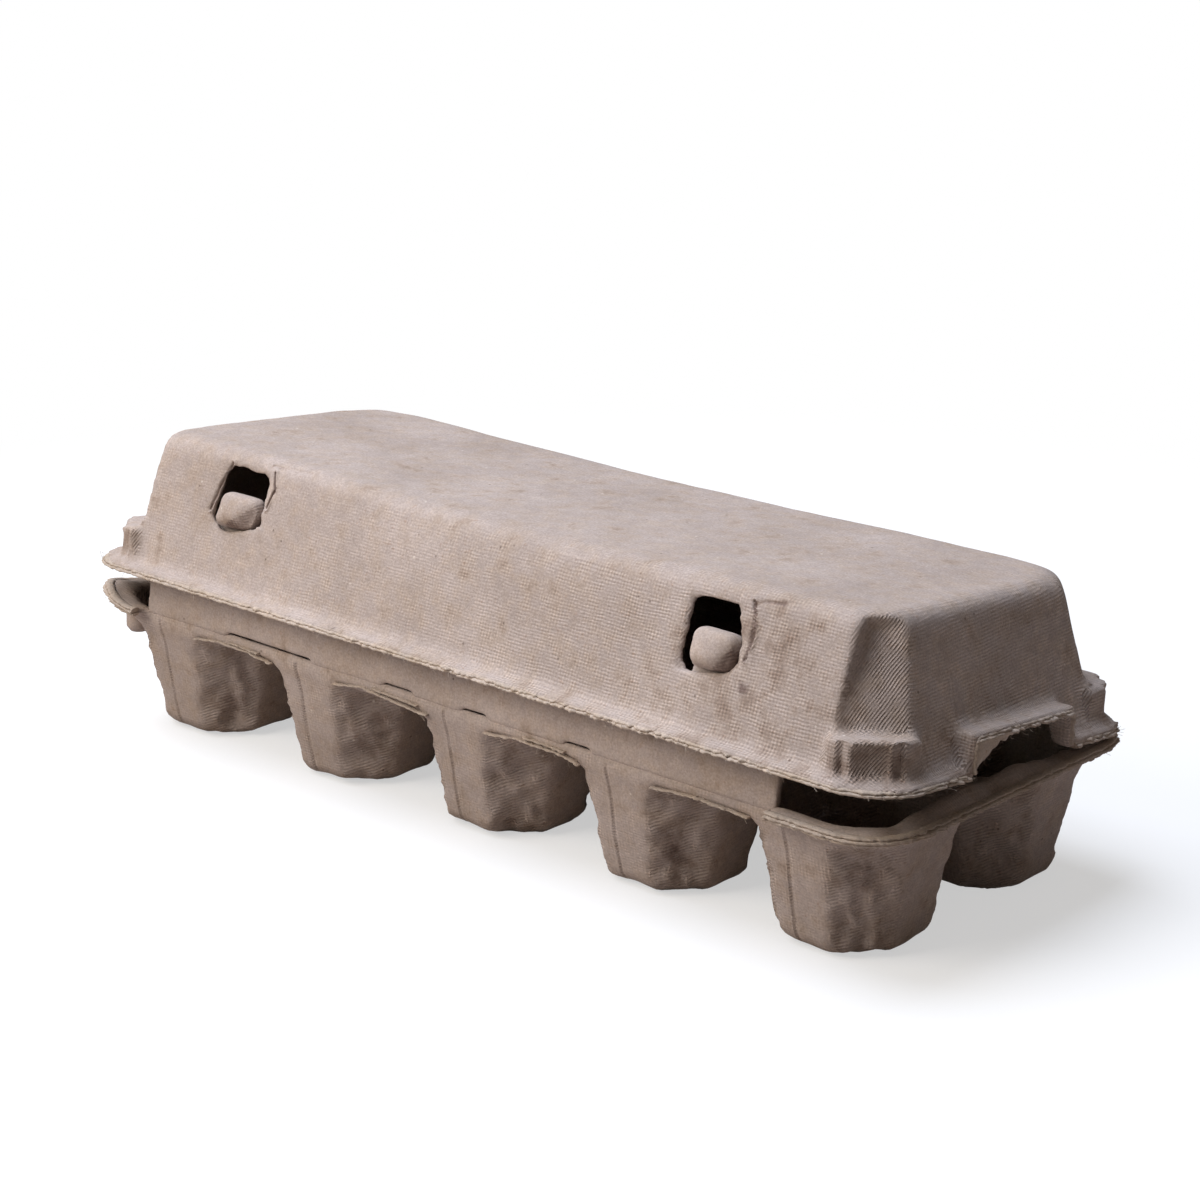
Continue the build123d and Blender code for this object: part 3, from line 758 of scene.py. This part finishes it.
# %% Seams and print of the tray
FOOT_HALF, MOUTH_HALF, MOUTH_Z, SEAM_OFFSET = 14.8, 20.3, 28.7, -2.2
SEAM = ((1.5, 0.1), (12.0, -0.15), (20.0, 0.1), (29.0, 0.0))

for middle in CELL_X:
    for side, row in zip((-1, 1), CELL_Y):
        seam = [(middle + SEAM_OFFSET + wobble,
                 row + side * (FOOT_HALF + (MOUTH_HALF - FOOT_HALF) * height / MOUTH_Z), height)
                for height, wobble in SEAM]
        crease(tray, seam, (0, side, -0.19), 0.26, 0.34)
points = points_of(tray)
points[:, 2] = np.maximum(points[:, 2], 0)
set_points(tray, points)
mark(tray, "print", 0.30 + 0.8 * slanting(tray) + 0.4 * lumps(points, 13, 61))
finish_piece(tray, "base", "tray")


# %% [markdown]
# ## Locking flap
# The flap is the tray's own sheet, folded up at the front. Its foot is sent down into the tray's skin, so
# the fold is a soft crease and only the slits show as gaps. The two buttons are pressed out as round
# bulges with a flattened lower facet. A slot is cut left of each button and the sheet above it is
# lowered, so that the windows stay dark there. Plain boxes cut these before the skin is rebuilt, and the
# rebuilding rounds the cuts.

# %% Slots in the flap
FOLD_Z, FOOT_DROP, SLIT_Z, SLIT_DROP = 31.0, 1.0, 31.5, 0.38
SLOT_LOW, SLOT_TOP, SLOT_REACH, SLOT_FRONT, SLOT_BACK = (17.5, 12.0), 27.0, 12.3, -88, -70
TOP_CUT, TOP_LEFT, TOP_RIGHT, TOP_FRONT = 21.2, -8, 9, -81.2
# Each button: its left edge from the window's middle, where its middle goes, its half sizes, its bulge, how
# far its foot leans left, a point on the edge of its lower facet, the way that facet falls, and how steeply.
BUTTONS = ((-6.2, (-73.6, 19.9), (7.5, 4.8), 2.6, 1.7, (-75.3, 16.4), (0.644, -0.767), 0.42),
           (-5.2, (70.0, 19.1), (6.1, 4.8), 2.5, 0.2, (71.3, 16.3), (0.784, -0.620), 0.55))

cutters = []
for middle, slot_low, (left, *_) in zip(WINDOW_X, SLOT_LOW, BUTTONS):
    for low, right in (((middle - SLOT_REACH, SLOT_FRONT, slot_low), left),
                       ((middle + TOP_LEFT, TOP_FRONT, TOP_CUT), TOP_RIGHT)):
        cutters.append(lid_box(low, (middle + right, SLOT_BACK, SLOT_TOP)))
flap = soft_copy("locking_flap", 0.7, 2, ((FOLD_Z, FOOT_DROP), (SLIT_Z, SLIT_DROP)), cutters)
swell(flap, 11, broad=0.15, fine=0.06)
print(len(cutters), "cuts made in the flap")

# %% Buttons
BUTTON_Z, BUTTON_RISE, BUTTON_RIGHT, BUTTON_BACK, BUTTON_NEAR = 20.2, 4.6, 6.2, 2.6, 8
BUTTON_INSET = 0.3


def proud_of(local):
    """One on the buttons, which stand out before the flap's sheet, and nought on the sheet."""
    return ease(front_of(local[:, 2]) + BUTTON_BACK - local[:, 1], 0, 1.0)


relax(flap, 0.5 * proud_of(to_lid(points_of(flap))), 5)
local = to_lid(points_of(flap))
x, y, z = local.T
proud, fore = proud_of(local), ease(-normals_of(flap)[:, 1], 0.35, 0.85)
shade = np.zeros(len(local))
for middle, (left, place, half, bulge, tip, edge, fall, steep) in zip(WINDOW_X, BUTTONS):
    here = proud * (np.abs(x - middle) < BUTTON_NEAR)
    centre = middle + (left + BUTTON_RIGHT) / 2
    new_x = place[0] + (x - centre) * half[0] * 2 / (BUTTON_RIGHT - left)
    new_z = place[1] + (z - BUTTON_Z) * half[1] / BUTTON_RISE
    u, v = np.clip((new_x - place[0]) / half[0], -1, 1), np.clip((new_z - place[1]) / half[1], -1, 1)
    past = np.maximum((new_x - edge[0]) * fall[0] + (new_z - edge[1]) * fall[1], 0)
    rise = bulge * (1 - np.abs(u) ** 3) * (1 - np.abs(v) ** 3) - BUTTON_INSET - steep * past
    local[:, 0] += here * (new_x - x - tip * ease(-v, 0.0, 1.0))
    local[:, 2] += here * (new_z - z)
    local[:, 1] += here * fore * (front_of(new_z) - rise - y)
    shade += here * ease(past, 0.1, 0.5)
set_points(flap, from_lid(local))
relax(flap, 0.5 * proud, 4)
# Painted shade: the buttons' lower facets are darkened through the stain number, and their weave print is
# pressed deeper.
mark(flap, "print", 0.12 + 0.85 * shade)
mark(flap, "stain_and_painted_shade", shade)
finish_piece(flap, "base", "locking_flap")


# %% [markdown]
# ## Frayed rims
# A pulp rim is a deckle edge: layers of matted fibre that end raggedly. Each layer is a ribbon that
# follows a guide line round the rim. A Geometry Nodes tree is the right tool, because one small rule,
# repeated along a path, makes the whole length: resample the guide, push each point in and out by noise,
# and sweep a flat oval. A second tree sets loose fibres on the same guides. A torn scrap hangs in the
# right-hand notch, shreds hang under the front fold, and a small block of pulp sticks under the rim at
# the left front.

# %% Tree for ribbons
def new_tree(name, sizes):
    """Geometry tree with a guide going in, named sizes beside it, and the grown mesh coming out.
    Gives back the tree, its inputs, the guide as a curve of even steps, and the ways its points face."""
    tree = bpy.data.node_groups.new(name, "GeometryNodeTree")
    tree.interface.new_socket("Guide", in_out="INPUT", socket_type="NodeSocketGeometry")
    for label, value in sizes.items():
        kind = "NodeSocketInt" if isinstance(value, int) else "NodeSocketFloat"
        tree.interface.new_socket(label, in_out="INPUT", socket_type=kind).default_value = value
    tree.interface.new_socket("Geometry", in_out="OUTPUT", socket_type="NodeSocketGeometry")
    given = add(tree, "NodeGroupInput").outputs
    curve = add(tree, "GeometryNodeMeshToCurve", {"Mesh": given["Guide"]})
    even = add(tree, "GeometryNodeResampleCurve", {"Curve": curve, "Length": given["Spacing"]},
               mode="LENGTH")
    outward = add(tree, "GeometryNodeInputNamedAttribute", {"Name": "outward"}, data_type="FLOAT_VECTOR")
    return tree, given, even, outward


def close_tree(tree, grown, material):
    """Realizes what has grown, gives it its material and hands it out."""
    whole = add(tree, "GeometryNodeRealizeInstances", {"Geometry": grown})
    smooth = add(tree, "GeometryNodeSetShadeSmooth", {"Geometry": whole})
    dressed = add(tree, "GeometryNodeSetMaterial", {"Geometry": smooth, "Material": material})
    add(tree, "NodeGroupOutput", {"Geometry": dressed})
    print("tree", tree.name, "with", len(tree.nodes), "nodes")


RIBBON = {"Spacing": 0.4 * MM, "Ragged": 0.30 * MM, "Grain": 2.2 * MM, "Width": 2.0 * MM,
          "Thickness": 0.8 * MM, "Seed": 1}
tree, given, line, outward = new_tree("frayed_ribbon", RIBBON)
ribbon_tree = tree
fineness = add(tree, MATH, {0: 1.0, 1: given["Grain"]}, operation="DIVIDE")
shift = add(tree, VECTOR, {0: add(tree, "GeometryNodeInputPosition"), "Scale": fineness},
            operation="SCALE")
seeded = add(tree, VECTOR, {0: shift, 1: given["Seed"]}, operation="ADD")
rough = add(tree, NOISE, {"Vector": seeded, "Scale": 1.0, "Detail": 4.0, "Roughness": 0.85})
swing = add(tree, RANGE, {"Value": rough, "From Min": 0.3, "From Max": 0.7, "To Min": -1.0, "To Max": 1.0},
            clamp=False)
patches = add(tree, NOISE, {"Vector": seeded, "Scale": 0.13, "Detail": 1.0})
patchy = add(tree, RANGE, {"Value": patches, "From Min": 0.35, "From Max": 0.65, "To Min": 0.3,
             "To Max": 1.9})
reach = add(tree, MATH, {0: patchy, 1: given["Ragged"]}, operation="MULTIPLY")
push = add(tree, MATH, {0: swing, 1: reach}, operation="MULTIPLY")
sideways = add(tree, VECTOR, {0: outward, "Scale": push}, operation="SCALE")
jitter = add(tree, VECTOR, {0: rough.outputs["Color"], 1: (0.5, 0.5, 0.5)}, operation="SUBTRACT")
loose = add(tree, VECTOR, {0: jitter, "Scale": given["Ragged"]}, operation="SCALE")
moved = add(tree, VECTOR, {0: sideways, 1: loose}, operation="ADD")
line = add(tree, "GeometryNodeSetPosition", {"Geometry": line, "Offset": moved})
line = add(tree, "GeometryNodeSetCurveNormal", {"Curve": line, "Normal": outward}, mode="FREE")
oval_size = add(tree, COMBINE, {0: given["Width"], 1: given["Thickness"], 2: 1.0})
circle = add(tree, "GeometryNodeCurvePrimitiveCircle", {"Resolution": 8, "Radius": 0.5})
oval = add(tree, "GeometryNodeTransform", {"Geometry": circle, "Scale": oval_size})
uneven = add(tree, "ShaderNodeSeparateXYZ", {0: rough.outputs["Color"]})
thick = add(tree, RANGE, {"Value": uneven, "From Min": 0.3, "From Max": 0.7, "To Min": 0.8,
            "To Max": 1.15})
ribbon = add(tree, "GeometryNodeCurveToMesh", {"Curve": line, "Profile Curve": oval, "Scale": thick,
             "Fill Caps": True})
close_tree(tree, ribbon, torn_pulp)

# %% Tree for fibres
# Loose hairs are 0.07 mm thick, about twice a real fibre, so that they show against the light.
HAIR = {"Spacing": 0.7 * MM, "Length": 1.2 * MM, "Radius": 0.035 * MM, "Spread": 1.1, "Seed": 1}
tree, given, line, outward = new_tree("loose_fibres", HAIR)
fibre_tree = tree
stray = add(tree, "FunctionNodeRandomValue", {"Min": (-1, -1, -1), "Max": (1, 1, 1),
            "Seed": given["Seed"]}, data_type="FLOAT_VECTOR")
spread = add(tree, VECTOR, {0: stray, "Scale": given["Spread"]}, operation="SCALE")
way = add(tree, VECTOR, {0: outward, 1: spread}, operation="ADD")
facing = add(tree, "FunctionNodeAlignRotationToVector", {"Vector": way}, axis="X")
hair_end = add(tree, COMBINE, {0: given["Length"], 1: given["Length"]})
most_length = add(tree, MATH, {0: given["Length"], 1: 0.7}, operation="MULTIPLY")
hair_bend = add(tree, COMBINE, {0: most_length})
hair_line = add(tree, "GeometryNodeCurveQuadraticBezier", {"Resolution": 4, "Start": (0, 0, 0),
                "Middle": hair_bend, "End": hair_end})
hair_round = add(tree, "GeometryNodeCurvePrimitiveCircle", {"Resolution": 3, "Radius": given["Radius"]})
hair = add(tree, "GeometryNodeCurveToMesh", {"Curve": hair_line, "Profile Curve": hair_round,
           "Fill Caps": True})
length = add(tree, "FunctionNodeRandomValue", {"Min": 0.2, "Max": 1.3, "Seed": given["Seed"]},
             data_type="FLOAT")
hairs = add(tree, "GeometryNodeInstanceOnPoints", {"Points": line, "Instance": hair, "Rotation": facing,
            "Scale": length})
close_tree(tree, hairs, torn_pulp)

# %% Guides round the rims
HALF_LENGTH, CORNER, LID_DEPTH, TRAY_FRONT = 120.05, 13.0, 92.6, -45.6
LID_MIDDLE, NOTCH_HALF, HOOD_RISE, FRAY_END = -44.7, 17.4, 8.4, 5.0
FLAP_ENDS, END_EDGE_X, FRONT_EDGE_Y = (-102.05, 90.45), 119, -44


def outline(front, back_edge, step=2.0):
    """Places and outward ways round a rim with rounded corners, from the back's middle and back again."""
    half, inner = HALF_LENGTH, HALF_LENGTH - CORNER
    run = []
    starts = ((0, back_edge), (half, back_edge - CORNER), (inner, front), (-half, front + CORNER))
    ends = ((inner, back_edge), (half, front + CORNER), (-inner, front), (-half, back_edge - CORNER))
    ways = ((0, 1), (1, 0), (0, -1), (-1, 0))
    signs = ((1, 1), (1, -1), (-1, -1), (-1, 1))
    for start, end, way, sign in zip(starts, ends, ways, signs):
        span = math.dist(start, end)
        for t in np.arange(0, span, step) / span:
            run.append((start[0] + (end[0] - start[0]) * t, start[1] + (end[1] - start[1]) * t, *way))
        middle = (sign[0] * inner, (back_edge - CORNER) if sign[1] > 0 else (front + CORNER))
        first = math.atan2(end[1] - middle[1], end[0] - middle[0])
        for angle in np.linspace(0, -math.pi / 2, 12)[:-1] + first:
            run.append((middle[0] + CORNER * math.cos(angle), middle[1] + CORNER * math.sin(angle),
                        math.cos(angle), math.sin(angle)))
    run += [(x, back_edge, 0, 1) for x in np.arange(-inner, 0, step)]
    return run


def runs_where(rim, keep):
    """Splits a rim into the runs of neighbouring points that are kept."""
    runs, current = [], []
    for point in rim:
        if keep(*point[:2]):
            current.append(point)
        elif current:
            runs.append(current)
            current = []
    return [run for run in runs + [current] if len(run) > 2]


def guide(runs):
    """Mesh of open lines, from runs of places in millimetres and the ways they face."""
    places, ways, edges = [], [], []
    for run in runs:
        edges += [(len(places) + i, len(places) + i + 1) for i in range(len(run) - 1)]
        places += [place for place, _ in run]
        ways += [way for _, way in run]
    mesh = bpy.data.meshes.new("guide")
    mesh.from_pydata(np.array(places) * MM, edges, [])
    mesh.attributes.new("outward", "FLOAT_VECTOR", "POINT").data.foreach_set("vector", np.ravel(ways))
    return mesh


def lid_guide(rise, inset):
    """Lines round the lid's lip at a height in it, and up over the hoods of the two notches."""

    def on_lip(x, y):
        return y < -FRAY_END and not (abs(x) > END_EDGE_X and abs(y - LID_MIDDLE) < NOTCH_HALF)

    rim = runs_where(outline(-LID_DEPTH + inset, -inset), on_lip)
    shrink = (HALF_LENGTH - inset) / HALF_LENGTH
    runs = [[((x * shrink, y, rise), (nx, ny, 0)) for x, y, nx, ny in run] for run in rim]
    high = HOOD_RISE - PULP / 2 + rise
    arch = [(-NOTCH_HALF, 1.0), (-NOTCH_HALF, high - 1), (-NOTCH_HALF + 1, high), (0, high),
            (NOTCH_HALF - 1, high), (NOTCH_HALF, high - 1), (NOTCH_HALF, 1.0)]
    for side in (-1, 1):
        runs.append([((side * (HALF_LENGTH - inset), LID_MIDDLE + w, h), (side, 0, 0)) for w, h in arch])
    turned_runs = []
    for run in runs:
        places = from_lid(np.array([place for place, _ in run]))
        turned_runs.append(list(zip(places, [way for _, way in run])))
    return guide(turned_runs)


def rim_guide(height, inset):
    """Lines round the tray's flange at a height, broken at the flap and at the hinge."""

    def on_flange(x, y):
        return y < HINGE_Y - FRAY_END and not (y < FRONT_EDGE_Y and FLAP_ENDS[0] < x < FLAP_ENDS[1])

    runs = []
    for run in runs_where(outline(TRAY_FRONT + inset, HINGE_Y - inset), on_flange):
        places = [(x * (HALF_LENGTH - inset) / HALF_LENGTH, y, height) for x, y, _, _ in run]
        places = curl(np.array(places))
        runs.append(list(zip(places, [(nx, ny, 0) for _, _, nx, ny in run])))
    return guide(runs)


print("guide points: lid", len(lid_guide(0.9, 0).vertices), "tray", len(rim_guide(30.8, 0).vertices))


# %% Growing, gathering and skinning
def grow(tree, line, **sizes):
    """Mesh that a tree grows along a guide."""
    grower = put("grower", line)
    modifier = grower.modifiers.new(tree.name, "NODES")
    modifier.node_group = tree
    for socket in tree.interface.items_tree:
        if socket.in_out == "INPUT" and socket.name in sizes:
            modifier[socket.identifier] = sizes[socket.name]
    mesh = bake(grower)
    bpy.data.objects.remove(grower)
    return mesh


def gather(name, meshes, body, material):
    """One piece from several meshes, tied to its body."""
    work = bmesh.new()
    for mesh in meshes:
        work.from_mesh(mesh)
    whole = bpy.data.meshes.new(name)
    work.to_mesh(whole)
    work.free()
    whole.materials.append(material)
    piece = put(name, whole)
    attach(piece, body)
    print_triangles(piece)


def skin_over(name, rings):
    """Closed smooth mesh through a row of rings of places in millimetres."""
    work = bmesh.new()
    rows = [[work.verts.new(Vector(place) * MM) for place in ring] for ring in rings]
    for near_row, far_row in zip(rows, rows[1:]):
        for i, first in enumerate(near_row):
            j = (i + 1) % len(near_row)
            work.faces.new((first, near_row[j], far_row[j], far_row[i]))
    work.faces.new(rows[0][::-1])
    work.faces.new(rows[-1])
    bmesh.ops.recalc_face_normals(work, faces=work.faces)
    mesh = bpy.data.meshes.new(name)
    work.to_mesh(mesh)
    work.free()
    mesh.shade_smooth()
    print(name, "skinned with", len(mesh.polygons), "faces")
    return mesh


# %% Frayed lip of the lid
# Each layer of a rim: its height, how far in it lies, and its width.
LID_LAYERS, LID_RAGGED = ((0.30, 0.50, 2.3), (0.85, 0.85, 2.2)), 0.50
WEB_EDGE = ((-62, -61, -57, -52.8, -46.6, -44), (1.0, 1.2, 3.6, 6.0, 7.2, 7.6))
WEB_STEPS, WEB_ROWS, WEB_TOP, WEB_LOWEST, WEB_TORN, WEB_BOW = 46, 5, 8.2, 7.9, 0.8, 0.3
WEB_FRONT_X, WEB_BACK_X, WEB_LEAN, WEB_HAIR_X, WEB_HAIR_WAY = 119.7, 118.5, 0.10, 119.5, (0.3, 0.5, -0.8)


def web_rings():
    """Rings of the scrap left in the near corner of the right-hand notch, with a torn lower edge."""
    for y in np.linspace(WEB_EDGE[0][0], WEB_EDGE[0][-1], WEB_STEPS):
        low = np.interp(y, *WEB_EDGE) + WEB_TORN * noise.noise(Vector((y / 1.3, 2.1, 0.4)))
        bow = WEB_BOW * noise.noise(Vector((y / 3.0, 0.2, 5.0)))
        heights = np.linspace(WEB_TOP, min(low, WEB_LOWEST), WEB_ROWS)
        front = [(WEB_FRONT_X + bow - WEB_LEAN * i, y, h) for i, h in enumerate(heights)]
        yield from_lid(np.array(front + [(WEB_BACK_X, y, h) for h in heights[::-1]]))


lid_fray = [grow(ribbon_tree, lid_guide(rise, inset), Width=width * MM, Ragged=LID_RAGGED * MM, Seed=i)
            for i, (rise, inset, width) in enumerate(LID_LAYERS)]
lid_fray.append(grow(fibre_tree, lid_guide(0.6, 0.1), Seed=11))
lid_fray.append(skin_over("web", web_rings()))
web_line = from_lid(np.array([(WEB_HAIR_X, y, z) for y, z in zip(*WEB_EDGE)]))
web_guide = guide([[(place, WEB_HAIR_WAY) for place in web_line]])
lid_fray.append(grow(fibre_tree, web_guide, Spacing=0.5 * MM, Seed=13))
gather("lid_frayed_lip", lid_fray, "lid", torn_pulp)

# %% Frayed rim of the tray
RIM_LAYERS = ((30.15, 0.75, 2.2), (30.8, 0.40, 2.4), (31.45, 0.70, 2.2))
TEAR_Y = -42.05
TEARS = (((-84, 27.6), (-76, 28.6), (-66, 28.4), (-58, 27.2)), ((-72, 29.3), (-62, 28.8)),
         ((-37, 27.4), (-28, 28.8), (-19, 28.0), (-12, 27.4), (-7, 27.2)), ((-24, 29.4), (-10, 28.7)),
         ((10, 27.3), (20, 28.4), (33, 28.2), (38, 27.1)), ((22, 29.4), (34, 29.0)),
         ((58, 27.3), (70, 28.3), (84, 27.6)))
NIB_X, NIB_Y, NIB_HALF, NIB_LOW, NIB_HIGH, NIB_DRAW = -115.6, -33.0, (3.0, 3.2), 20.6, 30.4, 0.75


def nib_rings():
    """Rings of the small block under the rim at the left front."""
    for height in np.linspace(NIB_LOW, NIB_HIGH, 9):
        draw = NIB_DRAW if height == NIB_LOW else 1.0
        yield [(NIB_X + draw * (NIB_HALF[0] * math.cos(turn)
                                + 0.25 * noise.noise(Vector((turn, height / 3, 1)))),
                NIB_Y + draw * NIB_HALF[1] * math.sin(turn), height)
               for turn in np.arange(12) * math.pi / 6]


rim_fray = [grow(ribbon_tree, rim_guide(height, inset), Width=width * MM, Seed=20 + i)
            for i, (height, inset, width) in enumerate(RIM_LAYERS)]
rim_fray.append(grow(fibre_tree, rim_guide(30.9, 0.1), Seed=31))
tears = guide([[((x, TEAR_Y, h), (0, -1, 0)) for x, h in path] for path in TEARS])
rim_fray.append(grow(ribbon_tree, tears, Width=1.5 * MM, Thickness=0.5 * MM, Ragged=0.45 * MM,
                     Grain=2.4 * MM, Seed=41))
rim_fray.append(grow(fibre_tree, tears.copy(), Seed=43))
gather("tray_frayed_rim", rim_fray, "base", torn_pulp)
gather("rim_nib", [skin_over("nib", nib_rings())], "base", pulp)


# %% [markdown]
# ## Fold of the hinge
# The lid and the tray are one sheet, folded along the back. The fold is a thin strip of the same pulp,
# bowed outwards between the two rims.

# %% Hinge fold
FOLD_HALF, FOLD_BULGE, FOLD_THICK, FOLD_INSET = 107.0, 0.9, 0.8, 0.5
FOLD_LOW, FOLD_HEIGHT, FOLD_STEPS, FOLD_ROWS = 30.3, 3.4, 107, 9


def fold_rings():
    """Rings of the strip along the back, bowed outwards between the two rims."""
    across = []
    for share in np.linspace(0, 1, FOLD_ROWS):
        bowed = HINGE_Y - FOLD_INSET + FOLD_BULGE * math.sin(math.pi * share)
        across.append((bowed, FOLD_LOW + FOLD_HEIGHT * share))
    ring = across + [(y - FOLD_THICK, z) for y, z in reversed(across)]
    for x in np.linspace(-FOLD_HALF, FOLD_HALF, FOLD_STEPS):
        ripple = 0.25 * noise.noise(Vector((x / 9, 0.3, 0.7)))
        yield [(x, y + ripple, z) for y, z in ring]


strip = put("hinge_fold", skin_over("hinge_fold", fold_rings()))
strip.data.materials.append(pulp)
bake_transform(strip)
